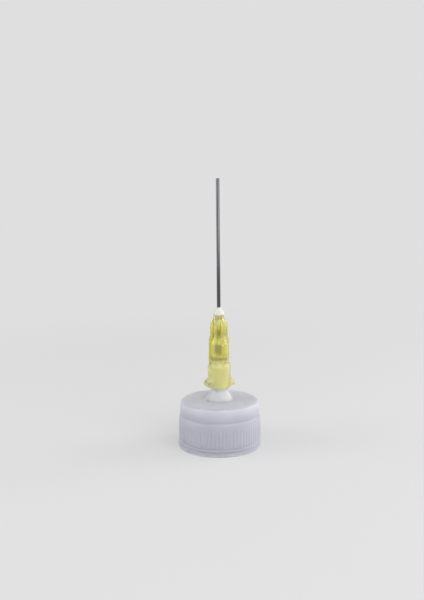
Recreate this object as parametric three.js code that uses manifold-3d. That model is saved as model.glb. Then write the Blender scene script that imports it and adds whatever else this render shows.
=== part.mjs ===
// Needle-tipped dispensing cap for a small glue bottle, in millimetres with +Z up.
// The origin is the centre of the cap's bottom rim, on the surface that the cap stands on.
// A threaded cap carries a hollow luer spigot. A luer needle hub is pushed on the spigot,
// and a blunt steel cannula is glued into the hub with a bead of epoxy.
import * as THREE from 'three';
import { mergeVertices } from 'three/addons/utils/BufferGeometryUtils.js';
import Module from 'manifold-3d';

const wasm = await Module();
wasm.setup();

const turn = 2 * Math.PI;
const roundSegments = 48; // facets round the cap, the spigot and the hub
const smallSegments = 24; // facets round the cannula and the bead
const overcut = 1; // how far a cutting solid reaches past the faces it opens

// Screw cap: a shell that fits a bottle neck of 18 mm nominal diameter
const capHeight = 11.65;
const skirtRadius = 10.19; // at the roots of the grip ribs
const skirtWall = 1.14;
const topThickness = 1.3;
const shoulderInset = 0.22; // the smooth band above the ribs is this much smaller in radius
const topInset = 0.47; // the smooth band leans in to this below its top edge
const topEdgeRadius = 0.55;
const smoothBandHeight = 3.4; // from the end of the step to the top
const stepHeight = 1.0; // sloped step between the ribs and the smooth band
const collarOverhang = 0.05; // the ribs run out into a collar this far past their roots
const lipOverhang = 0.21; // the bottom lip stands out this far past the rib roots
const lipHeight = 0.75;
const lipEdgeRadius = 0.2;
const grooveDepth = 0.12;
const ridgeOverhang = 0.16; // narrow ridge above the groove, past the rib roots
const ridgeLow = 1.3;
const ridgeHigh = 1.65;
const ribLow = 2.0;
const ribCount = 72;
const ribDepth = 0.12;
const ribRunOut = 0.8; // the ribs fade into the collar over this height
const ribSink = 0.08; // their faded ends go this far below the rib roots, inside the step
const mouthChamfer = 0.4;

// Internal screw thread
const threadPitch = 3.175; // eight turns to the inch
const threadTurns = 1.5;
const threadDepth = 0.85;
const threadBase = 1.6;
const threadCrest = 0.7;
const threadStart = 1.6; // height of the thread's middle where it begins
const threadSink = 0.15; // the thread's root is rooted this deep in the wall
const threadRunOut = turn / 14;
const threadStepsPerTurn = 48;

// Sealing washer, snapped in above the thread
const washerThickness = 1.0;
const washerHole = 5.5;
const washerClearance = 0.3; // to the wall round it
const seatGap = 0.02; // between faces that rest on each other

// Luer spigot, moulded with the cap: a six per cent taper
const spigotExposed = 3.25; // from the cap's top to the hub's mouth
const luerMouthRadius = 2.2; // of the spigot, level with the hub's mouth
const luerSlope = 0.03; // loss of radius for each unit of height
const luerEngagement = 7.4; // length of spigot inside the hub
const spigotTipRound = 0.15;
const spigotBore = 2.0;
const footRadius = 1.38; // flare where the spigot leaves the top
const footHeight = 2.5;
const footPower = 1.5; // 1 is a straight cone, and more hollows the flare

// Needle hub
const luerClearance = 0.04;
const hubTurn = THREE.MathUtils.degToRad(23);
const hubWall = 0.6; // round the luer socket
const hubMouthChamfer = 0.12;
const tipGap = 0.7; // from the spigot's tip to the end of the luer socket
const throatRadius = 1.0;
const throatLength = 2.5;
const throatTaper = 1.1;
const boreLength = 2.85; // plain bore that grips the cannula
const wellDepth = 3.65;
const wellGap = 0.5; // room for epoxy round the cannula
const neckWall = 0.44;
const neckLength = 1.0;
const barrelHeight = 6.2; // the round lower barrel, above the mouth
const barrelStep = 0.9; // height over which it narrows to the core
const coreWallLow = 0.385; // round the luer socket, above the barrel's step
const coreWallHigh = 0.32; // the same at the end of the socket
const upperCoreWall = 0.65; // round the epoxy well
const coreShoulder = 2.1; // height over which the core narrows
const finCount = 4;
const finThickness = 0.66;
const finProudLow = 0.35; // how far the fins stand out of the core, going up
const finProudMiddle = 0.3;
const finProudHigh = 0.666;
const finStep = 0.95;
const upperFinLength = 3.05;
const finChamfer = 1.0;
const lugSpan = 7.83; // across the two luer lugs
const lugHeight = 2.5;
const lugWidth = 3.7;
// the lugs' rounded outline: shares of their height and of how far they stand out
const lugOutline = [[0, 0], [0.12, 0.54], [0.24, 0.89], [0.4, 1], [0.58, 0.93], [0.7, 0.66], [0.84, 0.24], [1, 0]];

// Cannula, 20 gauge, and the epoxy that holds it
const cannulaRadius = 0.454;
const cannulaWall = 0.152;
const cannulaEmbedded = 2.4; // length inside the hub's plain bore
const cannulaExposed = 31.53; // from the bead's point to the blunt end
const cannulaClearance = 0.025;
const beadHeight = 1.95;
const beadOverNeck = 0.07;
// the bead's dome: shares of its height and of its widest radius
const beadDome = [[0.15, 1], [0.32, 0.96], [0.54, 0.81], [0.77, 0.5]];
const beadPointWall = 0.05;

// Sizes that follow from the ones above
const ceiling = capHeight - topThickness;
const innerRadius = skirtRadius - skirtWall;
const threadCrestRadius = innerRadius - threadDepth;
const ribHigh = capHeight - smoothBandHeight - stepHeight;
const washerRadius = innerRadius - washerClearance;
const washerTop = ceiling - seatGap;
const hubMouth = capHeight + spigotExposed;
const luerShelf = luerEngagement + tipGap;
const throatEnd = luerShelf + throatLength;
const boreStart = throatEnd + throatTaper;
const boreEnd = boreStart + boreLength;
const hubLength = boreEnd + wellDepth;
const cannulaHoleRadius = cannulaRadius + cannulaClearance;
const wellRadius = cannulaRadius + wellGap;
const neckRadius = wellRadius + neckWall;
const upperCoreRadius = wellRadius + upperCoreWall;
const barrelRadius = luerMouthRadius + luerClearance + hubWall;
const coreRadiusLow = luerRadius(barrelHeight) + luerClearance + coreWallLow;
const coreRadiusHigh = luerRadius(luerShelf) + luerClearance + coreWallHigh;
const finTop = hubLength - neckLength;
const finChamferStart = finTop - finChamfer;
const finStepTop = finChamferStart - upperFinLength;
const finStepLow = finStepTop - finStep;
const cannulaStart = boreEnd - cannulaEmbedded;
const beadTop = hubLength + beadHeight;
const cannulaEnd = beadTop + cannulaExposed;

const plastic = (color, roughness) => new THREE.MeshStandardMaterial({ color, roughness, metalness: 0 });
const materials = {
  cap: plastic(0xc9c9d3, 0.45),
  washer: plastic(0xe6e5e0, 0.85),
  hub: plastic(0xd3cd79, 0.25),
  epoxy: plastic(0xfbfbf3, 0.4),
  steel: new THREE.MeshStandardMaterial({ color: 0xb9bcc2, roughness: 0.3, metalness: 1 }),
};

// A quarter or other arc in the plane of radius and height, as [radius, height] points
function arc(centreRadius, centreHeight, size, fromDegrees, toDegrees, steps) {
  const points = [];
  for (let i = 0; i <= steps; i++) {
    const angle = THREE.MathUtils.degToRad(fromDegrees + ((toDegrees - fromDegrees) * i) / steps);
    points.push([centreRadius + size * Math.cos(angle), centreHeight + size * Math.sin(angle)]);
  }
  return points;
}

// Turns an outline of [radius, height] points round Z; the outline runs up its outer side
function turned(outline, segments = roundSegments) {
  const points = outline.map(([radius, height]) => new THREE.Vector2(radius, height));
  points.push(points[0].clone());
  return new THREE.LatheGeometry(points, segments).rotateX(Math.PI / 2);
}

function toSolid(geometry) {
  const bare = geometry.clone();
  bare.deleteAttribute('normal');
  bare.deleteAttribute('uv');
  const merged = mergeVertices(bare, 1e-5);
  const corners = merged.index.array;
  const triangles = [];
  for (let i = 0; i < corners.length; i += 3) {
    const [a, b, c] = corners.slice(i, i + 3);
    if (a !== b && b !== c && c !== a) {
      triangles.push(a, b, c); // the outline's points on the axis give flat triangles, left out
    }
  }
  const vertProperties = Float32Array.from(merged.attributes.position.array);
  const triVerts = Uint32Array.from(triangles);
  return new wasm.Manifold(new wasm.Mesh({ numProp: 3, vertProperties, triVerts }));
}

function toGeometry(solid) {
  const mesh = solid.getMesh();
  const geometry = new THREE.BufferGeometry();
  geometry.setAttribute('position', new THREE.BufferAttribute(mesh.vertProperties, 3));
  geometry.setIndex(new THREE.BufferAttribute(mesh.triVerts, 1));
  return geometry;
}

function piece(name, geometry, material) {
  const mesh = new THREE.Mesh(geometry, material);
  mesh.name = name;
  return mesh;
}

// Radius of the luer taper at a height above the hub's mouth
function luerRadius(height) {
  return luerMouthRadius - luerSlope * height;
}

// The cap's outside with its spigot, as one filled solid
function capOutside() {
  const tip = hubMouth + luerEngagement;
  const tipRadius = luerRadius(luerEngagement);
  const lipRadius = skirtRadius + lipOverhang;
  const grooveRadius = lipRadius - grooveDepth;
  const ridgeRadius = skirtRadius + ridgeOverhang;
  const smoothRadius = skirtRadius - shoulderInset;
  const edgeCentre = skirtRadius - topInset - topEdgeRadius;
  const spigotRootRadius = luerRadius(footHeight - spigotExposed);
  // a hollow flare sweeps from the flat top into the spigot
  const foot = [0, 1, 2, 3, 4, 5, 6].map((step) => [
    spigotRootRadius + footRadius * (1 - step / 6) ** footPower,
    capHeight + (footHeight * step) / 6,
  ]);
  return toSolid(turned([
    [0, 0],
    ...arc(lipRadius - lipEdgeRadius, lipEdgeRadius, lipEdgeRadius, -90, 0, 3),
    [lipRadius, lipHeight],
    [grooveRadius, lipHeight + grooveDepth],
    [grooveRadius, ridgeLow - grooveDepth],
    [ridgeRadius, ridgeLow],
    [ridgeRadius, ridgeHigh],
    [skirtRadius, ribLow],
    [skirtRadius, ribHigh - ribRunOut],
    [skirtRadius + collarOverhang, ribHigh],
    [smoothRadius, ribHigh + stepHeight],
    ...arc(edgeCentre, capHeight - topEdgeRadius, topEdgeRadius, 0, 90, 4),
    ...foot,
    ...arc(tipRadius - spigotTipRound, tip - spigotTipRound, spigotTipRound, 0, 90, 2),
    [0, tip],
  ]));
}

// Fine upright grip ribs: a star outline whose points fade out at the top
function gripRibs() {
  const outline = new THREE.Shape();
  for (let i = 0; i < 2 * ribCount; i++) {
    const radius = i % 2 === 0 ? skirtRadius + ribDepth : skirtRadius;
    const angle = (i / (2 * ribCount)) * turn;
    outline[i === 0 ? 'moveTo' : 'lineTo'](radius * Math.cos(angle), radius * Math.sin(angle));
  }
  outline.closePath();
  const geometry = new THREE.ExtrudeGeometry(outline, { depth: 2, steps: 2, bevelEnabled: false });
  const heights = [ribLow, ribHigh - ribRunOut, ribHigh + stepHeight / 3];
  const fade = (skirtRadius - ribSink) / (skirtRadius + ribDepth);
  const position = geometry.attributes.position;
  for (let i = 0; i < position.count; i++) {
    const level = Math.round(position.getZ(i));
    const scale = level === 2 ? fade : 1;
    position.setXYZ(i, position.getX(i) * scale, position.getY(i) * scale, heights[level]);
  }
  return toSolid(geometry);
}

// A right-hand thread: its section is extruded straight, then wound up the wall
function capThread() {
  const rootRadius = innerRadius + threadSink;
  const section = new THREE.Shape([
    new THREE.Vector2(0, -threadBase / 2),
    new THREE.Vector2(0, threadBase / 2),
    new THREE.Vector2(-1, threadCrest / 2),
    new THREE.Vector2(-1, -threadCrest / 2),
  ]);
  const sweep = threadTurns * turn;
  const geometry = new THREE.ExtrudeGeometry(section, {
    depth: sweep,
    steps: Math.round(threadTurns * threadStepsPerTurn),
    bevelEnabled: false,
  });
  const position = geometry.attributes.position;
  for (let i = 0; i < position.count; i++) {
    const angle = position.getZ(i);
    const fromEnd = Math.min(angle, sweep - angle);
    const rise = Math.min(fromEnd / threadRunOut, 1);
    const depth = threadSink / 2 + (threadDepth + threadSink / 2) * rise;
    const radius = rootRadius + position.getX(i) * depth;
    const height = threadStart + (threadTurns - angle / turn) * threadPitch + position.getY(i);
    position.setXYZ(i, radius * Math.cos(angle), -radius * Math.sin(angle), height);
  }
  return toSolid(geometry);
}

function screwCap() {
  const hollow = toSolid(turned([
    [0, -overcut],
    [innerRadius + mouthChamfer + overcut, -overcut],
    [innerRadius, mouthChamfer],
    [innerRadius, ceiling],
    [0, ceiling],
  ]));
  const bore = toSolid(turned([
    [0, ceiling - overcut],
    [spigotBore / 2, ceiling - overcut],
    [spigotBore / 2, hubMouth + luerEngagement + overcut],
    [0, hubMouth + luerEngagement + overcut],
  ]));
  const cap = capOutside().add(gripRibs()).subtract(hollow).add(capThread()).subtract(bore);
  return piece('screw_cap', toGeometry(cap), materials.cap);
}

function sealingWasher() {
  const washerLow = washerTop - washerThickness;
  const outline = [
    [washerHole / 2, washerLow],
    [washerRadius, washerLow],
    [washerRadius, washerTop],
    [washerHole / 2, washerTop],
  ];
  return piece('sealing_washer', turned(outline), materials.washer);
}

// Heights in the hub are measured up from its mouth
function hubCore() {
  return toSolid(turned([
    [0, 0],
    [barrelRadius, 0],
    [barrelRadius, barrelHeight - barrelStep],
    [coreRadiusLow, barrelHeight],
    [coreRadiusHigh, finStepTop - coreShoulder],
    [upperCoreRadius, finStepTop],
    [upperCoreRadius, finChamferStart],
    [neckRadius, finTop],
    [neckRadius, hubLength],
    [0, hubLength],
  ]));
}

// One upright fin that stands out along +X
function hubFin() {
  const outline = new THREE.Shape([
    new THREE.Vector2(0, barrelHeight - barrelStep),
    new THREE.Vector2(coreRadiusLow + finProudLow, barrelHeight - barrelStep),
    new THREE.Vector2(coreRadiusHigh + finProudMiddle, finStepLow),
    new THREE.Vector2(upperCoreRadius + finProudHigh, finStepTop),
    new THREE.Vector2(upperCoreRadius + finProudHigh, finChamferStart),
    new THREE.Vector2(neckRadius, finTop),
    new THREE.Vector2(0, finTop),
  ]);
  const geometry = new THREE.ExtrudeGeometry(outline, { depth: finThickness, bevelEnabled: false });
  return geometry.translate(0, 0, -finThickness / 2).rotateX(Math.PI / 2);
}

// Two luer lugs: a rounded ring, cut down to the width of the lugs
function hubLugs() {
  const reach = lugSpan / 2 - barrelRadius;
  const ring = toSolid(turned([
    [0, 0],
    ...lugOutline.map(([up, out]) => [barrelRadius + reach * out, lugHeight * up]),
    [0, lugHeight],
  ]));
  const band = new THREE.BoxGeometry(2 * lugSpan, lugWidth, 4 * lugHeight);
  return ring.intersect(toSolid(band));
}

// The way through the hub: luer socket, throat, cannula bore and epoxy well
function hubPassage() {
  const socketMouth = luerMouthRadius + luerClearance;
  const shelfRadius = luerRadius(luerShelf) + luerClearance;
  return toSolid(turned([
    [0, -overcut],
    [socketMouth + hubMouthChamfer, -overcut],
    [socketMouth + hubMouthChamfer, 0],
    [socketMouth - luerSlope * hubMouthChamfer, hubMouthChamfer],
    [shelfRadius, luerShelf],
    [throatRadius, luerShelf],
    [throatRadius, throatEnd],
    [cannulaHoleRadius, boreStart],
    [cannulaHoleRadius, boreEnd],
    [wellRadius, boreEnd],
    [wellRadius, hubLength + overcut],
    [0, hubLength + overcut],
  ]));
}

function needleHub() {
  let hub = hubCore().add(hubLugs());
  for (let i = 0; i < finCount; i++) {
    hub = hub.add(toSolid(hubFin().rotateZ((i / finCount) * turn)));
  }
  return piece('needle_hub', toGeometry(hub.subtract(hubPassage())), materials.hub);
}

// The bead sits on the neck, and its stem fills the well round the cannula
function epoxyBead() {
  const stemRadius = wellRadius - cannulaClearance;
  const rimRadius = neckRadius + beadOverNeck;
  const outline = [
    [cannulaHoleRadius, boreEnd + seatGap],
    [stemRadius, boreEnd + seatGap],
    [stemRadius, hubLength + seatGap],
    [neckRadius, hubLength + seatGap],
    ...beadDome.map(([up, out]) => [rimRadius * out, hubLength + beadHeight * up]),
    [cannulaHoleRadius + beadPointWall, beadTop],
    [cannulaHoleRadius, beadTop],
  ];
  return piece('epoxy_bead', turned(outline, smallSegments), materials.epoxy);
}

function cannula() {
  const outline = [
    [cannulaRadius - cannulaWall, cannulaStart],
    [cannulaRadius, cannulaStart],
    [cannulaRadius, cannulaEnd],
    [cannulaRadius - cannulaWall, cannulaEnd],
  ];
  return piece('cannula', turned(outline, smallSegments), materials.steel);
}

const cap = new THREE.Group();
cap.name = 'cap';
cap.add(screwCap(), sealingWasher());

const needle = new THREE.Group();
needle.name = 'needle';
needle.position.z = hubMouth;
needle.rotation.z = hubTurn;
needle.add(needleHub(), epoxyBead(), cannula());

const dispensingCap = new THREE.Group();
dispensingCap.name = 'needle_dispensing_cap';
dispensingCap.add(cap, needle);

export default dispensingCap;
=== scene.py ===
# Needle-tipped dispensing cap: a milky screw cap with a luer spigot, a yellow needle hub pushed on it,
# a bead of white epoxy and a blunt steel tube. The outlines are in millimetres, and the meshes in metres.
import bpy
import math
import numpy as np
from mathutils import Matrix, Vector


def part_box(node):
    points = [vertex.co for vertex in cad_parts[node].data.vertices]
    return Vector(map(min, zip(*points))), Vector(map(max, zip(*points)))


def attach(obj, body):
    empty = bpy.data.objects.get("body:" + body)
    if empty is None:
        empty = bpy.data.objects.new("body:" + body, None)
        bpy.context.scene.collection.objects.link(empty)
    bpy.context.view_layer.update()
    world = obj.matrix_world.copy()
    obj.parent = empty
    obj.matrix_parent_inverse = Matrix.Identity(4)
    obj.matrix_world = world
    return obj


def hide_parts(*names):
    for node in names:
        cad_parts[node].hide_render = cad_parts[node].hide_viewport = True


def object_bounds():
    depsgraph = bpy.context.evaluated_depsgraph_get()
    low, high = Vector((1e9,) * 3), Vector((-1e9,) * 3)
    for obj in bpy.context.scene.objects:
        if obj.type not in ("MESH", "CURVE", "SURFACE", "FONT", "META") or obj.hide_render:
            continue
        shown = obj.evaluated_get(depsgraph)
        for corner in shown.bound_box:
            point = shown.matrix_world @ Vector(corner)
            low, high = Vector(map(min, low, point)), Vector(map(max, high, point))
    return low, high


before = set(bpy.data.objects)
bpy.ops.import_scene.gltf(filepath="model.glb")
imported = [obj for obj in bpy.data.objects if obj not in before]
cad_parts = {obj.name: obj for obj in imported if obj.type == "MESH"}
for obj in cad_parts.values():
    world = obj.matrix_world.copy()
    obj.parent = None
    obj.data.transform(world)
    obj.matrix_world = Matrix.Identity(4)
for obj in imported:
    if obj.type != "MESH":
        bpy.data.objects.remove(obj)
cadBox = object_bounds()
scene = bpy.context.scene
mm = 0.001
seatGap = 0.02  # between faces that rest on each other, in millimetres


def boxOf(node):
    # a node's lowest and highest corners, in millimetres
    low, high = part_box(node)
    return low / mm, high / mm


turning = {
    "arcSteps": 4,  # straights in a rounded corner
    "cornerRoom": 0.48,  # the most of a neighbouring straight that a rounding takes
    "sharp": 0.001,  # a corner with a smaller reach stays one point
    "support": 0.07,  # a straight with no spacing has rows this far from its ends
    "plainBelow": 5,  # and none where it is shorter than this many supports
}


def smoothOutline(corners):
    # corners: radius, height, rounding, and the row spacing on the straight that follows
    arcSteps, support = turning["arcSteps"], turning["support"]
    count = len(corners)
    corners = [tuple(corner) + (0.0,) * (4 - len(corner)) for corner in corners]
    arcs = []
    for i, (radius, height, rounding, _) in enumerate(corners):
        here = Vector((radius, height))
        back = Vector(corners[i - 1][:2]) - here
        ahead = Vector(corners[(i + 1) % count][:2]) - here
        room = turning["cornerRoom"] * min(back.length, ahead.length)
        reach = min(rounding / math.tan(back.angle(ahead) / 2), room)
        start, end = here + back.normalized() * reach, here + ahead.normalized() * reach
        steps = [k / arcSteps for k in range(arcSteps + 1)] if reach > turning["sharp"] else [0.5]
        arcs.append([start * (1 - t) ** 2 + here * 2 * t * (1 - t) + end * t * t for t in steps])
    outline = []
    for i, arc in enumerate(arcs):
        outline += arc
        start, end = arc[-1], arcs[(i + 1) % count][0]
        length = (end - start).length
        spacing = corners[i][3]
        if spacing:
            rows = max(1, round(length / spacing))
            outline += [start.lerp(end, k / rows) for k in range(1, rows)]
        elif length > turning["plainBelow"] * support:
            outline += [start.lerp(end, support / length), start.lerp(end, 1 - support / length)]
    return [tuple(point) for point in outline]


def turnedPiece(name, outline, segments, shares=None):
    # shares: a number for each point of the outline, kept as an attribute of its whole row
    count = len(outline)
    rows = np.array(outline) * mm
    angles = np.arange(segments) * 2 * math.pi / segments
    x = np.cos(angles)[:, None] * rows[:, 0]
    y = np.sin(angles)[:, None] * rows[:, 0]
    z = np.broadcast_to(rows[:, 1], x.shape)
    points = np.stack([x, y, z], axis=2).reshape(-1, 3)
    faces = []
    for i in range(segments):
        here, there = i * count, ((i + 1) % segments) * count
        for k in range(count):
            up = (k + 1) % count
            faces.append((here + k, there + k, there + up, here + up))
    mesh = bpy.data.meshes.new(name)
    mesh.from_pydata(points.tolist(), [], faces)
    for label, values in (shares or {}).items():
        layer = mesh.attributes.new(label, "FLOAT", "POINT")
        layer.data.foreach_set("value", np.tile(values, segments).astype(np.float32))
    mesh.shade_smooth()
    piece = bpy.data.objects.new(name, mesh)
    scene.collection.objects.link(piece)
    return piece


def addNode(tree, kind, **settings):
    node = tree.nodes.new(kind)
    for key, value in settings.items():
        setattr(node, key, value)
    return node


def wire(tree, value, socket):
    if isinstance(value, bpy.types.NodeSocket):
        tree.links.new(value, socket)
    else:
        socket.default_value = value


def maths(tree, operation, *values, clamped=False):
    node = addNode(tree, "ShaderNodeMath", operation=operation, use_clamp=clamped)
    for socket, value in zip(node.inputs, values):
        wire(tree, value, socket)
    return node.outputs[0]


def softStep(tree, value):
    # eases a value from 0 to 1
    t = maths(tree, "MULTIPLY", value, 1.0, clamped=True)
    return maths(tree, "MULTIPLY", maths(tree, "MULTIPLY", t, t), maths(tree, "MULTIPLY_ADD", t, -2.0, 3.0))


def fromAxis(tree, x, y):
    squares = maths(tree, "ADD", maths(tree, "MULTIPLY", x, x), maths(tree, "MULTIPLY", y, y))
    return maths(tree, "SQRT", squares)


def newShapeTree(name, sizes):
    tree = bpy.data.node_groups.new(name, "GeometryNodeTree")
    tree.interface.new_socket("Geometry", in_out="INPUT", socket_type="NodeSocketGeometry")
    for label, value in sizes.items():
        socket = tree.interface.new_socket(label, in_out="INPUT", socket_type="NodeSocketFloat")
        socket.default_value = value
    tree.interface.new_socket("Finish", in_out="INPUT", socket_type="NodeSocketMaterial")
    tree.interface.new_socket("Geometry", in_out="OUTPUT", socket_type="NodeSocketGeometry")
    return tree, addNode(tree, "NodeGroupInput").outputs


def rowShare(tree, label):
    node = addNode(tree, "GeometryNodeInputNamedAttribute", data_type="FLOAT")
    node.inputs["Name"].default_value = label
    return node.outputs["Attribute"]


def polarPlace(tree):
    # angle, radius, and the separate coordinates of each point
    place = addNode(tree, "ShaderNodeSeparateXYZ")
    tree.links.new(addNode(tree, "GeometryNodeInputPosition").outputs[0], place.inputs[0])
    x, y, z = place.outputs
    return maths(tree, "ARCTAN2", y, x), fromAxis(tree, x, y), x, y, z


def closeShapeTree(tree, given, x, y, z, scale):
    # moves each point in or out by a scale on its radius, and ends the tree
    place = addNode(tree, "ShaderNodeCombineXYZ")
    wire(tree, maths(tree, "MULTIPLY", x, scale), place.inputs[0])
    wire(tree, maths(tree, "MULTIPLY", y, scale), place.inputs[1])
    wire(tree, z, place.inputs[2])
    moved = addNode(tree, "GeometryNodeSetPosition")
    wire(tree, given["Geometry"], moved.inputs["Geometry"])
    wire(tree, place.outputs[0], moved.inputs["Position"])
    real = addNode(tree, "GeometryNodeRealizeInstances")
    wire(tree, moved.outputs[0], real.inputs[0])
    finish = addNode(tree, "GeometryNodeSetMaterial")
    wire(tree, real.outputs[0], finish.inputs["Geometry"])
    wire(tree, given["Finish"], finish.inputs["Material"])
    wire(tree, finish.outputs[0], addNode(tree, "NodeGroupOutput").inputs[0])


def growPiece(piece, tree, finish):
    # runs the tree on the piece and keeps the result as its plain mesh
    modifier = piece.modifiers.new(tree.name, "NODES")
    modifier.node_group = tree
    for item in tree.interface.items_tree:
        if item.in_out == "INPUT" and item.socket_type == "NodeSocketFloat":
            modifier[item.identifier] = item.default_value
        elif item.in_out == "INPUT" and item.socket_type == "NodeSocketMaterial":
            modifier[item.identifier] = finish
    grown = bpy.data.meshes.new_from_object(piece.evaluated_get(bpy.context.evaluated_depsgraph_get()))
    piece.modifiers.remove(modifier)
    piece.data = grown
    grown.name = piece.name
    grown.materials.clear()
    grown.materials.append(finish)
    grown.shade_smooth()


def newFinish(name):
    material = bpy.data.materials.new(name)
    material.use_nodes = True
    tree = material.node_tree
    shader = tree.nodes["Principled BSDF"]
    place = addNode(tree, "ShaderNodeTexCoord").outputs["Object"]
    return material, tree, shader, place


def separated(tree, place):
    parts = addNode(tree, "ShaderNodeSeparateXYZ")
    wire(tree, place, parts.inputs[0])
    return parts.outputs


def noise(tree, place, size, detail=2.0, stretch=(1, 1, 1)):
    # size is the width of a patch in millimetres
    mapping = addNode(tree, "ShaderNodeMapping")
    mapping.inputs["Scale"].default_value = stretch
    wire(tree, place, mapping.inputs["Vector"])
    node = addNode(tree, "ShaderNodeTexNoise")
    wire(tree, mapping.outputs[0], node.inputs["Vector"])
    node.inputs["Scale"].default_value = 1 / (size * mm)
    node.inputs["Detail"].default_value = detail
    return node.outputs["Fac"]


noiseMiddle = (0.3, 0.7)  # most of a noise lies between these


def ranged(tree, value, low, high):
    # spreads the middle of a noise over low to high
    node = addNode(tree, "ShaderNodeMapRange")
    wire(tree, value, node.inputs["Value"])
    node.inputs["From Min"].default_value = noiseMiddle[0]
    node.inputs["From Max"].default_value = noiseMiddle[1]
    node.inputs["To Min"].default_value = low
    node.inputs["To Max"].default_value = high
    return node.outputs[0]


def mixedColour(tree, share, first, second):
    node = addNode(tree, "ShaderNodeMix", data_type="RGBA")
    sockets = {socket.identifier: socket for socket in node.inputs}
    wire(tree, share, sockets["Factor_Float"])
    wire(tree, first if isinstance(first, bpy.types.NodeSocket) else (*first, 1), sockets["A_Color"])
    wire(tree, second if isinstance(second, bpy.types.NodeSocket) else (*second, 1), sockets["B_Color"])
    return next(socket for socket in node.outputs if socket.identifier == "Result_Color")


def tonedByHeight(tree, height, stops, waver):
    # stops: heights in millimetres with their tones; the waver is a share of the height between the ends
    bottom, top = stops[0][0], stops[-1][0]
    ramp = addNode(tree, "ShaderNodeValToRGB")
    for k, (level, tone) in enumerate(stops):
        share = (level - bottom) / (top - bottom)
        stop = ramp.color_ramp.elements[k] if k < 2 else ramp.color_ramp.elements.new(share)
        stop.position = share
        stop.color = (*tone, 1)
    climb = maths(tree, "DIVIDE", maths(tree, "SUBTRACT", height, bottom * mm), (top - bottom) * mm)
    wire(tree, maths(tree, "ADD", climb, waver, clamped=True), ramp.inputs["Fac"])
    return ramp.outputs["Color"]


def bumped(tree, height, depth, shader):
    # depth is in millimetres
    node = addNode(tree, "ShaderNodeBump")
    node.inputs["Strength"].default_value = 1.0
    node.inputs["Distance"].default_value = depth * mm
    wire(tree, height, node.inputs["Height"])
    wire(tree, node.outputs[0], shader.inputs["Normal"])


def roughened(tree, place, look, shader):
    patches = noise(tree, place, look["patchSize"])
    wire(tree, ranged(tree, patches, *look["roughness"]), shader.inputs["Roughness"])


def litThrough(shader, look):
    # light inside and through the plastic, and the pale bloom on its surface
    shader.inputs["Subsurface Weight"].default_value = look["glow"]
    shader.inputs["Subsurface Radius"].default_value = look["glowTint"]
    shader.inputs["Transmission Weight"].default_value = look["seeThrough"]
    shader.inputs["Sheen Weight"].default_value = look["bloom"]
    shader.inputs["Sheen Roughness"].default_value = look["bloomSpread"]
    shader.inputs["IOR"].default_value = look["bending"]


capLook = {
    # the thin tone doubles as painted shade and the thick one as painted light
    "thinOrShadedTone": (0.51, 0.51, 0.60), "thickOrLitTone": (0.81, 0.81, 0.90), "spigot": (0.95, 0.96, 0.95),
    "clears": (11.4, 12.2),  # the thick tone gives way to the spigot's between these heights
    "wall": (  # heights, each with a share from 0 for the thin tone to 1 for the thick one: partly a denser milk in thick walls, partly painted light on the lip and the cone's top and painted shade on the step and the top disc
        # the lip's bright rows are partly a thicker lip and partly painted light
        (0.0, 0.9), (0.35, 0.7), (0.7, 0.0), (2.0, 0.05), (2.6, 0.2), (5.5, 0.24), (6.6, 0.27),
        # painted shade on the step at 8.1 and on the top disc at 11.6; the cone's top is partly thicker
        # plastic, partly painted light
        (7.6, 0.24), (8.1, 0.14), (8.4, 0.22), (9.2, 0.42), (10.3, 0.64), (11.1, 0.8), (11.6, 0.05),
        # painted light: the spigot grows brighter up into the hub's shade
        (12.2, 0.45), (14.8, 0.56), (16.6, 0.84), (18.5, 0.95), (22.3, 0.95),
    ),
    "waver": 0.015, "waverSize": 3.0, "cloud": 0.95, "cloudSize": 5.0,
    "roughness": (0.34, 0.46), "patchSize": 1.5, "grainSize": 0.25, "grainDepth": 0.004,
    "glow": 1.0, "glowTint": (1.0, 1.0, 1.0),
    "glowReach": (2.6, 1.0),  # in a thin wall and in a thick one
    "spigotReach": 5.0,  # added on the spigot, in full where its tone is thin
    "seeThrough": 0.3, "bloom": 0.45, "bloomSpread": 0.4, "bending": 1.5,
}


def milkyPlastic(look):
    material, tree, shader, place = newFinish("milkyPlastic")
    height = separated(tree, place)[2]
    # thick stretches of the wall look whiter than thin ones, by their height; painted light brightens the
    # lip and the cone's top, and painted shade darkens the step and the top disc
    waver = look["waver"]
    wavy = maths(tree, "MULTIPLY_ADD", noise(tree, place, look["waverSize"]), 2 * waver, -waver)
    wall = tonedByHeight(tree, height, [(level, (share,) * 3) for level, share in look["wall"]], wavy)
    # the spigot is a clearer white than the lilac of the thin walls, and brighter still as painted light
    # where the hub shades it
    bottom, top = look["clears"]
    climb = maths(tree, "SUBTRACT", height, bottom * mm)
    clear = maths(tree, "DIVIDE", climb, (top - bottom) * mm, clamped=True)
    thickOrLitTone = mixedColour(tree, clear, look["thickOrLitTone"], look["spigot"])
    milkAndPaintedLight = mixedColour(tree, wall, look["thinOrShadedTone"], thickOrLitTone)
    clouds = ranged(tree, noise(tree, place, look["cloudSize"]), look["cloud"], 1.0)
    shade = addNode(tree, "ShaderNodeVectorMath", operation="SCALE")
    wire(tree, milkAndPaintedLight, shade.inputs[0])
    wire(tree, clouds, shade.inputs["Scale"])
    wire(tree, shade.outputs[0], shader.inputs["Base Color"])
    roughened(tree, place, look, shader)
    bumped(tree, noise(tree, place, look["grainSize"]), look["grainDepth"], shader)
    # light spreads further in a thin wall than in a thick one, and furthest low on the spigot
    reach = addNode(tree, "ShaderNodeMapRange")
    wire(tree, wall, reach.inputs["Value"])
    reach.inputs["To Min"].default_value = look["glowReach"][0] * mm
    reach.inputs["To Max"].default_value = look["glowReach"][1] * mm
    bare = maths(tree, "MULTIPLY", clear, maths(tree, "SUBTRACT", 1.0, wall))
    deeper = maths(tree, "MULTIPLY_ADD", bare, look["spigotReach"] * mm, reach.outputs[0])
    wire(tree, deeper, shader.inputs["Subsurface Scale"])
    litThrough(shader, look)
    return material


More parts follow.
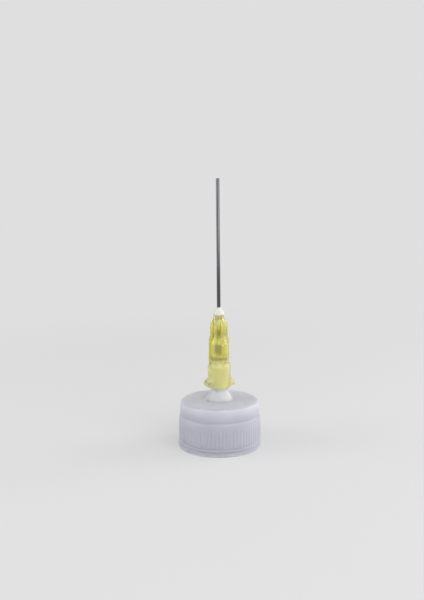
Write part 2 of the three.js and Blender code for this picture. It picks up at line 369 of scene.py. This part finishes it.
hubLook = {
    "tones": (  # heights with the dye's tone, from the hub's mouth to its top, darkened as painted shade over the throat, most round the tube's bore, and under the bead
        (14.9, (1.0, 0.97, 0.58)), (20.5, (1.0, 0.96, 0.52)), (22.8, (0.85, 0.81, 0.27)),
        (27.2, (0.83, 0.79, 0.24)), (28.2, (0.73, 0.69, 0.19)), (29.2, (0.73, 0.70, 0.20)),
        (30.2, (0.90, 0.87, 0.34)), (31.8, (0.96, 0.94, 0.46)), (32.5, (0.80, 0.78, 0.42)),
        (33.1, (0.85, 0.83, 0.50)),
    ),
    "inside": (  # largest radius, lowest and highest height, and tone, each band painted shade or a painted highlight
        (2.12, 21.9, 22.6, (0.01, 0.009, 0.002)),  # painted shade in the gap over the spigot
        (2.12, 22.6, 23.3, (1.0, 1.0, 0.8)),  # painted highlight at the end of the socket
        (1.06, 23.3, 25.7, (0.03, 0.027, 0.006)),  # painted shade in the throat
        (0.55, 27.0, 29.6, (0.02, 0.018, 0.006)),  # painted shade in the bore round the tube
    ),
    "waver": 0.03, "streakSize": 2.5, "streakStretch": (1, 1, 0.3),
    "roughness": (0.10, 0.16), "patchSize": 0.8, "grainSize": 1.6, "grainDepth": 0.004,
    "glow": 1.0, "glowTint": (1.0, 0.9, 0.4), "glowReach": 0.12,
    "seeThrough": 0.68, "bloom": 0.25, "bloomSpread": 0.4, "bending": 1.49,
    "dye": (1.0, 0.95, 0.2), "dyeStrength": 380.0,
}


def yellowPlastic(look):
    material, tree, shader, place = newFinish("yellowPlastic")
    x, y, z = separated(tree, place)
    # the dye is deeper in the finned upper part than in the barrel, with faint streaks, and painted shade
    # darkens it over the throat, the bore and under the bead
    streaks = noise(tree, place, look["streakSize"], stretch=look["streakStretch"])
    dyeAndPaintedShade = tonedByHeight(tree, z, look["tones"], ranged(tree, streaks, -look["waver"], look["waver"]))
    # the inner surfaces get painted shade and a painted highlight, seen through the wall
    radius = fromAxis(tree, x, y)
    for widest, bottom, top, tone in look["inside"]:
        above = maths(tree, "GREATER_THAN", z, bottom * mm)
        between = maths(tree, "MULTIPLY", above, maths(tree, "LESS_THAN", z, top * mm))
        inside = maths(tree, "MULTIPLY", between, maths(tree, "LESS_THAN", radius, widest * mm))
        dyeAndPaintedShade = mixedColour(tree, inside, dyeAndPaintedShade, tone)
    wire(tree, dyeAndPaintedShade, shader.inputs["Base Color"])
    roughened(tree, place, look, shader)
    bumped(tree, noise(tree, place, look["grainSize"]), look["grainDepth"], shader)
    shader.inputs["Subsurface Scale"].default_value = look["glowReach"] * mm
    litThrough(shader, look)
    dye = addNode(tree, "ShaderNodeVolumeAbsorption")
    dye.inputs["Color"].default_value = (*look["dye"], 1)
    dye.inputs["Density"].default_value = look["dyeStrength"]
    wire(tree, dye.outputs[0], tree.nodes["Material Output"].inputs["Volume"])
    return material


epoxyLook = {
    "tones": ((0.69, 0.69, 0.65), (0.65, 0.64, 0.58)), "cloudSize": 0.9,
    "roughness": (0.45, 0.6), "patchSize": 0.4, "grainSize": 0.35, "grainDetail": 2.0, "grainDepth": 0.012,
    "glow": 0.6, "glowTint": (1.0, 0.95, 0.8), "glowReach": 0.4, "gloss": 0.2,
}

washerLook = {
    "tones": ((0.80, 0.79, 0.76), (0.74, 0.73, 0.70)), "cloudSize": 3.0,
    "roughness": (0.5, 0.65), "patchSize": 0.6, "grainSize": 0.22, "grainDetail": 4.0, "grainDepth": 0.02,
    "glow": 0.4, "glowTint": (1.0, 0.2, 0.1), "glowReach": 0.6, "gloss": 0.5,
}


def denseWhite(name, look):
    # a white that hardly lets light through, with faint clouds of a second tone
    material, tree, shader, place = newFinish(name)
    clouds = ranged(tree, noise(tree, place, look["cloudSize"]), 0.0, 1.0)
    wire(tree, mixedColour(tree, clouds, *look["tones"]), shader.inputs["Base Color"])
    roughened(tree, place, look, shader)
    grain = noise(tree, place, look["grainSize"], detail=look["grainDetail"])
    bumped(tree, grain, look["grainDepth"], shader)
    shader.inputs["Subsurface Weight"].default_value = look["glow"]
    shader.inputs["Subsurface Scale"].default_value = look["glowReach"] * mm
    shader.inputs["Subsurface Radius"].default_value = look["glowTint"]
    shader.inputs["Specular IOR Level"].default_value = look["gloss"]
    return material


steelLook = {
    "tones": ((0.13, 0.13, 0.14), (0.10, 0.10, 0.11)), "roughness": (0.08, 0.16),
    "streakSize": 0.12, "streakDetail": 3.0, "streakStretch": (1, 1, 0.02), "streakDepth": 0.003,
}


def drawnSteel(look):
    # fine streaks run along the tube
    material, tree, shader, place = newFinish("drawnSteel")
    streaks = noise(tree, place, look["streakSize"], look["streakDetail"], look["streakStretch"])
    shade = ranged(tree, streaks, 0.0, 1.0)
    wire(tree, mixedColour(tree, shade, *look["tones"]), shader.inputs["Base Color"])
    wire(tree, ranged(tree, streaks, *look["roughness"]), shader.inputs["Roughness"])
    bumped(tree, streaks, look["streakDepth"], shader)
    shader.inputs["Metallic"].default_value = 1.0
    return material


capShape = {
    "outside": (  # inset from the lip's radius, height, rounding, row spacing
        (0, 0, 0.25), (0, 0.80, 0.08),  # lip
        (0.12, 0.92, 0.06), (0.12, 1.18, 0.06),  # groove
        (0.04, 1.30, 0.08), (0.04, 1.64, 0.08),  # ridge
        (0.22, 1.84, 0.06), (0.22, 1.96, 0.06),  # groove under the ribs
        (0.09, 2.05, 0.05, 0.3), (0.09, 6.3, 0, 0.1), (0.16, 7.1, 0.6, 0.1),  # crests of the ribs
        (0.25, 7.75, 0.5), (0.42, 8.2, 0.15), (0.49, 9.9, 0.8),  # smooth band over the ribs
    ),
    "topInset": 0.70, "topRounding": 0.62, "topThickness": 1.3,
    "ribCount": 72, "ribDepth": 0.12, "facetsPerRib": 6,
    "ribLow": 1.99, "ribRise": 0.1,  # the ribs reach their depth this far above their low end
    "ribHigh": 7.1, "ribFade": 1.8,  # and lose it over this much below their high end
    "ribWall": 0.39,  # only rows less than this inside the lip's radius have ribs
    "mouth": 9.45, "bore": 9.05,
    "boreLow": 0.5, "threadEnd": 7.4,  # heights that the bore's close rows lie between
    "onBore": 0.01,  # only rows this close to the bore's radius have the thread
    "footRadius": 1.38, "footHeight": 2.5, "footCurve": 1.5, "footRows": 12, "footRounding": 0.5,
    "taperRadius": 2.2, "taperSlope": 0.03, "spigotBore": 1.0,
    "threadPitch": 3.175, "threadDepth": 0.85, "threadBase": 1.6, "threadCrest": 0.7,
    "threadStart": 1.6, "threadTurns": 1.5, "threadRunOut": 0.08,
}


def capTree(shape):
    sizes = {
        "Rib Count": shape["ribCount"], "Rib Depth": shape["ribDepth"] * mm,
        "Thread Pitch": shape["threadPitch"] * mm, "Thread Depth": shape["threadDepth"] * mm,
        "Thread Base": shape["threadBase"] * mm, "Thread Crest": shape["threadCrest"] * mm,
        "Thread Start": shape["threadStart"] * mm, "Thread Turns": shape["threadTurns"],
        "Thread Run Out": shape["threadRunOut"],
    }
    tree, given = newShapeTree("capMoulding", sizes)
    angle, radius, x, y, z = polarPlace(tree)

    # ribs: a wave round the skirt, cut in from the crests
    wave = maths(tree, "COSINE", maths(tree, "MULTIPLY", angle, given["Rib Count"]))
    valley = maths(tree, "MULTIPLY_ADD", wave, -0.5, 0.5)
    cut = maths(tree, "MULTIPLY", valley, given["Rib Depth"])
    ribs = maths(tree, "MULTIPLY", cut, rowShare(tree, "ribs"))

    # thread: how far each point of the bore is from the nearest pass of the helix
    along = maths(tree, "DIVIDE", maths(tree, "ADD", angle, math.pi), 2 * math.pi)
    climb = maths(tree, "DIVIDE", maths(tree, "SUBTRACT", z, given["Thread Start"]), given["Thread Pitch"])
    turns = maths(tree, "SUBTRACT", climb, along)
    nearest = maths(tree, "ROUND", turns)
    offTurns = maths(tree, "ABSOLUTE", maths(tree, "SUBTRACT", turns, nearest))
    off = maths(tree, "MULTIPLY", offTurns, given["Thread Pitch"])
    flank = maths(tree, "SUBTRACT", given["Thread Base"], given["Thread Crest"])
    toEdge = maths(tree, "SUBTRACT", given["Thread Base"], maths(tree, "MULTIPLY", off, 2.0))
    section = maths(tree, "DIVIDE", toEdge, flank, clamped=True)
    # its ends run out into the bore
    wound = maths(tree, "ADD", nearest, along)
    left = maths(tree, "MINIMUM", wound, maths(tree, "SUBTRACT", given["Thread Turns"], wound))
    ends = maths(tree, "DIVIDE", left, given["Thread Run Out"], clamped=True)
    ridge = maths(tree, "MULTIPLY", maths(tree, "MULTIPLY", section, ends), given["Thread Depth"])
    thread = maths(tree, "MULTIPLY", ridge, rowShare(tree, "thread"))

    inwards = maths(tree, "DIVIDE", maths(tree, "ADD", ribs, thread), radius)
    closeShapeTree(tree, given, x, y, z, maths(tree, "SUBTRACT", 1.0, inwards))
    return tree


def buildCap(shape, finish):
    high = boxOf("screw_cap")[1]
    rim, tip = high.x, high.z
    ceiling = boxOf("sealing_washer")[1].z + seatGap
    top = ceiling + shape["topThickness"]
    mouth = boxOf("needle_hub")[0].z

    def taper(height):
        return shape["taperRadius"] - shape["taperSlope"] * (height - mouth)

    footTop = top + shape["footHeight"]
    foot = []
    for t in np.linspace(0, 1, shape["footRows"]):
        flare = shape["footRadius"] * (1 - t) ** shape["footCurve"]
        rounding = shape["footRounding"] if t == 0 else 0.0
        foot.append((taper(footTop) + flare, top + shape["footHeight"] * t, rounding))
    outline = smoothOutline([
        (shape["mouth"], 0, 0.06),
        *[(rim - inset, *rest) for inset, *rest in shape["outside"]],
        (rim - shape["topInset"], top, shape["topRounding"]),
        *foot,
        (taper(tip), tip, 0.16),
        (shape["spigotBore"], tip, 0.1),
        (shape["spigotBore"], ceiling, 0.15),
        (shape["bore"], ceiling, 0.25),
        (shape["bore"], shape["threadEnd"], 0, 0.14),
        (shape["bore"], shape["boreLow"], 0.1),
    ])

    ribbed, threaded = [], []
    for radius, height in outline:
        rise = min(max((height - shape["ribLow"]) / shape["ribRise"], 0), 1)
        fade = min(max((shape["ribHigh"] - height) / shape["ribFade"], 0), 1)
        ribbed.append(rise * fade if radius > rim - shape["ribWall"] else 0.0)
        threaded.append(1.0 if abs(radius - shape["bore"]) < shape["onBore"] else 0.0)
    segments = shape["facetsPerRib"] * shape["ribCount"]
    piece = turnedPiece("screw_cap_moulding", outline, segments, {"ribs": ribbed, "thread": threaded})
    growPiece(piece, capTree(shape), finish)
    return piece


# the hub's heights are measured up from its mouth
hubShape = {
    "turn": 23, "segments": 320,
    "barrel": 2.84, "lugRowsEnd": 2.6, "barrelEnd": 5.3,
    "core": (  # radius, height, rounding, row spacing
        (2.44, 6.2, 0.6, 0.3), (2.32, 11.05, 0.5, 0.14), (1.604, 13.15, 0.5, 0.14), (1.604, 16.2, 0.1, 0.12),
    ),
    "neck": 1.394, "neckStart": 17.2,
    "socket": 2.24, "socketSlope": 0.03, "chamfer": 0.12, "shelf": 8.1, "throat": 1.0, "throatEnd": 10.6,
    "boreStart": 11.7, "boreEnd": 14.55, "bore": 0.479, "well": 0.954,
    "midWall": ((0, 2.5), (8.1, 2.12), (10.6, 1.3), (18.2, 1.2)),  # height, radius within the wall
    "lugWidth": 3.6, "lugEdge": 1.2,
    "lugPath": (  # height, share of the lugs' full reach
        (0, 0), (0.3, 0.54), (0.6, 0.89), (1.0, 1.0), (1.45, 0.93), (1.75, 0.66), (2.1, 0.24), (2.5, 0),
    ),
    "finCount": 4, "finThickness": 0.66, "finEdge": 0.14,
    "finPath": ((5.3, 2.79), (12.2, 2.62), (13.15, 2.27), (16.2, 2.27), (17.2, 1.394)),  # height, radius
}


def hubTree(shape):
    sizes = {
        "Turn": math.radians(shape["turn"]), "Fin Count": shape["finCount"],
        "Fin Thickness": shape["finThickness"] * mm, "Fin Edge": shape["finEdge"] * mm,
        "Lug Width": shape["lugWidth"] * mm, "Lug Edge": shape["lugEdge"] * mm,
    }
    tree, given = newShapeTree("hubMoulding", sizes)
    angle, radius, x, y, z = polarPlace(tree)
    turned = maths(tree, "SUBTRACT", angle, given["Turn"])
    half = maths(tree, "DIVIDE", math.pi, given["Fin Count"])
    toFin = maths(tree, "WRAP", turned, half, maths(tree, "MULTIPLY", half, -1.0))

    def standsOut(away, reach, width, edge):
        # full height within the width, eased down over the edge
        sideways = maths(tree, "ABSOLUTE", maths(tree, "SINE", away))
        side = maths(tree, "MULTIPLY", sideways, maths(tree, "ADD", radius, reach))
        limit = maths(tree, "MULTIPLY", maths(tree, "ADD", width, edge), 0.5)
        share = softStep(tree, maths(tree, "DIVIDE", maths(tree, "SUBTRACT", limit, side), edge))
        return maths(tree, "MULTIPLY", reach, share)

    fins = standsOut(toFin, rowShare(tree, "fins"), given["Fin Thickness"], given["Fin Edge"])
    lugs = standsOut(turned, rowShare(tree, "lugs"), given["Lug Width"], given["Lug Edge"])
    outwards = maths(tree, "DIVIDE", maths(tree, "ADD", fins, lugs), radius)
    closeShapeTree(tree, given, x, y, z, maths(tree, "ADD", outwards, 1.0))
    return tree


def buildHub(shape, finish):
    low, high = boxOf("needle_hub")
    mouth, length = low.z, high.z - low.z
    barrel, socket = shape["barrel"], shape["socket"]
    lugReach = high.x - barrel
    outline = smoothOutline([
        (barrel, 0, 0.08, 0.1),
        (barrel, shape["lugRowsEnd"], 0, 0.4),
        (barrel, shape["barrelEnd"], 0.3),
        *shape["core"],
        (shape["neck"], shape["neckStart"], 0.1, 0.3),
        (shape["neck"], length, 0.05),
        (shape["well"], length, 0.04),
        (shape["well"], shape["boreEnd"], 0.04),
        (shape["bore"], shape["boreEnd"], 0.03),
        (shape["bore"], shape["boreStart"], 0.2),
        (shape["throat"], shape["throatEnd"], 0.25),
        (shape["throat"], shape["shelf"], 0.08),
        (socket - shape["socketSlope"] * shape["shelf"], shape["shelf"], 0.1),
        (socket, shape["chamfer"], 0.02),
        (socket + shape["chamfer"], 0, 0.03),
    ])

    wallHeights, wallRadii = zip(*shape["midWall"])
    finHeights, finRadii = zip(*shape["finPath"])
    lugHeights, lugShares = zip(*shape["lugPath"])
    fins, lugs = [], []
    for radius, height in outline:
        outside = radius > np.interp(height, wallHeights, wallRadii)
        finOut = float(np.interp(height, finHeights, finRadii, left=0, right=0)) if outside else 0.0
        lugShare = float(np.interp(height, lugHeights, lugShares)) if outside else 0.0
        fins.append(max(finOut - radius, 0) * mm)
        lugs.append(lugShare * lugReach * mm)
    outline = [(radius, height + mouth) for radius, height in outline]
    piece = turnedPiece("needle_hub_moulding", outline, shape["segments"], {"fins": fins, "lugs": lugs})
    growPiece(piece, hubTree(shape), finish)
    return piece


def plainPiece(name, corners, segments, finish):
    piece = turnedPiece(name, smoothOutline(corners), segments)
    piece.data.materials.append(finish)
    return piece


washerShape = {"hole": 2.75, "holeRounding": 0.12, "rimRounding": 0.15, "segments": 128}


def buildWasher(shape, finish):
    low, high = boxOf("sealing_washer")
    corners = [
        (shape["hole"], low.z, shape["holeRounding"]),
        (high.x, low.z, shape["rimRounding"]),
        (high.x, high.z, shape["rimRounding"]),
        (shape["hole"], high.z, shape["holeRounding"]),
    ]
    return plainPiece("sealing_washer_ring", corners, shape["segments"], finish)


dropShape = {
    "hole": 0.479, "stem": 0.929, "segments": 96,
    "bead": (  # radius, height over the neck, rounding, row spacing
        (1.38, 0, 0.05), (1.46, 0.28, 0.14), (1.40, 0.62, 0.5, 0.1), (1.18, 1.04, 0.5, 0.1),
        (0.73, 1.50, 0.3, 0.1),
    ),
    "collar": 0.56, "collarDrop": 0.10, "tipWall": 0.03,
}


def buildDrop(shape, finish):
    low, high = boxOf("epoxy_bead")
    neckTop = boxOf("needle_hub")[1].z + seatGap
    corners = [
        (shape["hole"], low.z, 0),
        (shape["stem"], low.z, 0.05),
        (shape["stem"], neckTop, 0),
        *[(radius, neckTop + height, *rest) for radius, height, *rest in shape["bead"]],
        (shape["collar"], high.z - shape["collarDrop"], 0.1),
        (shape["hole"] + shape["tipWall"], high.z, 0.02),
        (shape["hole"], high.z, 0.01),
    ]
    return plainPiece("epoxy_drop", corners, shape["segments"], finish)


tubeShape = {"wall": 0.152, "rowSpacing": 1.0, "segments": 64}


def buildTube(shape, finish):
    low, high = boxOf("cannula")
    outside, inside = high.x, high.x - shape["wall"]
    corners = [
        (inside, low.z, 0.03),
        (outside, low.z, 0.04, shape["rowSpacing"]),
        (outside, high.z, 0.05),
        (inside, high.z, 0.04),
    ]
    return plainPiece("needle_tube", corners, shape["segments"], finish)


print("building the cap")
cap = buildCap(capShape, milkyPlastic(capLook))
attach(cap, "cap")
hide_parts("screw_cap")

print("building the washer")
washer = buildWasher(washerShape, denseWhite("softPolyethylene", washerLook))
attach(washer, "cap")
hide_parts("sealing_washer")

print("building the hub")
hub = buildHub(hubShape, yellowPlastic(hubLook))
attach(hub, "needle")
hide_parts("needle_hub")

print("building the epoxy and the tube")
drop = buildDrop(dropShape, denseWhite("whiteEpoxy", epoxyLook))
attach(drop, "needle")
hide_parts("epoxy_bead")
tube = buildTube(tubeShape, drawnSteel(steelLook))
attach(tube, "needle")
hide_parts("cannula")


stageLook = {
    "floorSize": 3.0, "floorDrop": 0.00002,  # half its side, and how far it lies under the cap
    "floorColour": 0.45, "speckTone": 0.985, "speckSize": 0.6, "floorRoughness": 0.8, "floorGloss": 0.2,
    "daylight": 0.52,  # the world's light on the object
    "seen": 0.74, "floorGlow": 0.28,  # the backdrop, and what is added to the floor, as the camera sees them
    "fadeStart": 0.05, "fadeEnd": 0.26,  # the floor gives way to the backdrop between these distances
}


def seenDirectly(tree):
    # 1 for what the camera sees, straight or by gloss or glass, and 0 for light falling on the object
    path = addNode(tree, "ShaderNodeLightPath").outputs
    direct = maths(tree, "MAXIMUM", path["Is Camera Ray"], path["Is Glossy Ray"])
    return maths(tree, "MAXIMUM", direct, path["Is Transmission Ray"])


def plainGlow(tree, strength):
    glow = addNode(tree, "ShaderNodeEmission")
    wire(tree, strength, glow.inputs["Strength"])
    return glow.outputs[0]


def joined(tree, kind, *shaders, share=None):
    node = addNode(tree, kind)
    sockets = [socket for socket in node.inputs if socket.type == "SHADER"]
    for socket, shader in zip(sockets, shaders):
        wire(tree, shader, socket)
    if share is not None:
        wire(tree, share, node.inputs["Fac"])
    return node.outputs[0]


def floorPaper(look):
    material, tree, shader, place = newFinish("floorPaper")
    tone = look["floorColour"]
    speck = ranged(tree, noise(tree, place, look["speckSize"]), 0.0, 1.0)
    specked = mixedColour(tree, speck, (tone,) * 3, (tone * look["speckTone"],) * 3)
    wire(tree, specked, shader.inputs["Base Color"])
    shader.inputs["Roughness"].default_value = look["floorRoughness"]
    shader.inputs["Specular IOR Level"].default_value = look["floorGloss"]
    # the paper runs out into the plain backdrop colour away from the object
    away = addNode(tree, "ShaderNodeVectorMath", operation="LENGTH")
    wire(tree, place, away.inputs[0])
    beyond = maths(tree, "SUBTRACT", away.outputs["Value"], look["fadeStart"])
    faded = maths(tree, "DIVIDE", beyond, look["fadeEnd"] - look["fadeStart"])
    direct = seenDirectly(tree)
    lift = plainGlow(tree, maths(tree, "MULTIPLY", direct, look["floorGlow"]))
    lifted = joined(tree, "ShaderNodeAddShader", shader.outputs[0], lift)
    fade = maths(tree, "MULTIPLY", softStep(tree, faded), direct)
    surface = joined(tree, "ShaderNodeMixShader", lifted, plainGlow(tree, look["seen"]), share=fade)
    wire(tree, surface, tree.nodes["Material Output"].inputs["Surface"])
    return material


def buildFloor(look):
    mesh = bpy.data.meshes.new("floor")
    half, height = look["floorSize"], cadBox[0].z - look["floorDrop"]
    corners = [(-half, -half, height), (half, -half, height), (half, half, height), (-half, half, height)]
    mesh.from_pydata(corners, [], [(0, 1, 2, 3)])
    mesh.materials.append(floorPaper(look))
    floor = bpy.data.objects.new("floor", mesh)
    scene.collection.objects.link(floor)


def buildDaylight(look):
    world = bpy.data.worlds.new("studio")
    scene.world = world
    world.use_nodes = True
    tree = world.node_tree
    light = tree.nodes["Background"]
    light.inputs["Color"].default_value = (1, 1, 1, 1)
    light.inputs["Strength"].default_value = look["daylight"]
    seen = addNode(tree, "ShaderNodeBackground")
    seen.inputs["Color"].default_value = (1, 1, 1, 1)
    seen.inputs["Strength"].default_value = look["seen"]
    both = joined(tree, "ShaderNodeMixShader", light.outputs[0], seen.outputs[0], share=seenDirectly(tree))
    wire(tree, both, tree.nodes["World Output"].inputs["Surface"])


# places and sizes in metres, power in watts
lampTarget = Vector((0, 0, 0.02))
softboxes = {
    "right": {"place": (0.42, 0.10, 0.10), "size": (0.30, 0.44), "power": 1.25},
    "left": {"place": (-0.46, -0.06, 0.12), "size": (0.34, 0.44), "power": 1.25},
    "front": {"place": (0.24, -0.50, 0.26), "size": (0.80, 0.60), "power": 3.3},
}


def buildSoftbox(name, box):
    lamp = bpy.data.lights.new(name, "AREA")
    lamp.shape = "RECTANGLE"
    lamp.size, lamp.size_y = box["size"]
    lamp.energy = box["power"]
    softbox = bpy.data.objects.new(name, lamp)
    softbox.location = box["place"]
    softbox.rotation_euler = (lampTarget - softbox.location).to_track_quat("-Z", "Y").to_euler()
    scene.collection.objects.link(softbox)


cameraSetup = {
    "place": (-0.00165, -0.177, 0.06095), "near": 0.005,  # metres
    "tilt": 7.75, "roll": 0.55,  # degrees
    "lens": 43.32,  # millimetres
}


def buildCamera(setup):
    lens = bpy.data.cameras.new("camera")
    lens.lens = setup["lens"]
    lens.clip_start = setup["near"]
    camera = bpy.data.objects.new("camera", lens)
    tilt = Matrix.Rotation(math.radians(90 - setup["tilt"]), 4, "X")
    roll = Matrix.Rotation(math.radians(-setup["roll"]), 4, "Z")
    camera.matrix_world = Matrix.Translation(setup["place"]) @ tilt @ roll
    scene.collection.objects.link(camera)
    scene.camera = camera


print("setting the stage")
buildFloor(stageLook)
buildDaylight(stageLook)
for name, box in softboxes.items():
    buildSoftbox(name, box)
buildCamera(cameraSetup)
scene.view_settings.view_transform = "Standard"
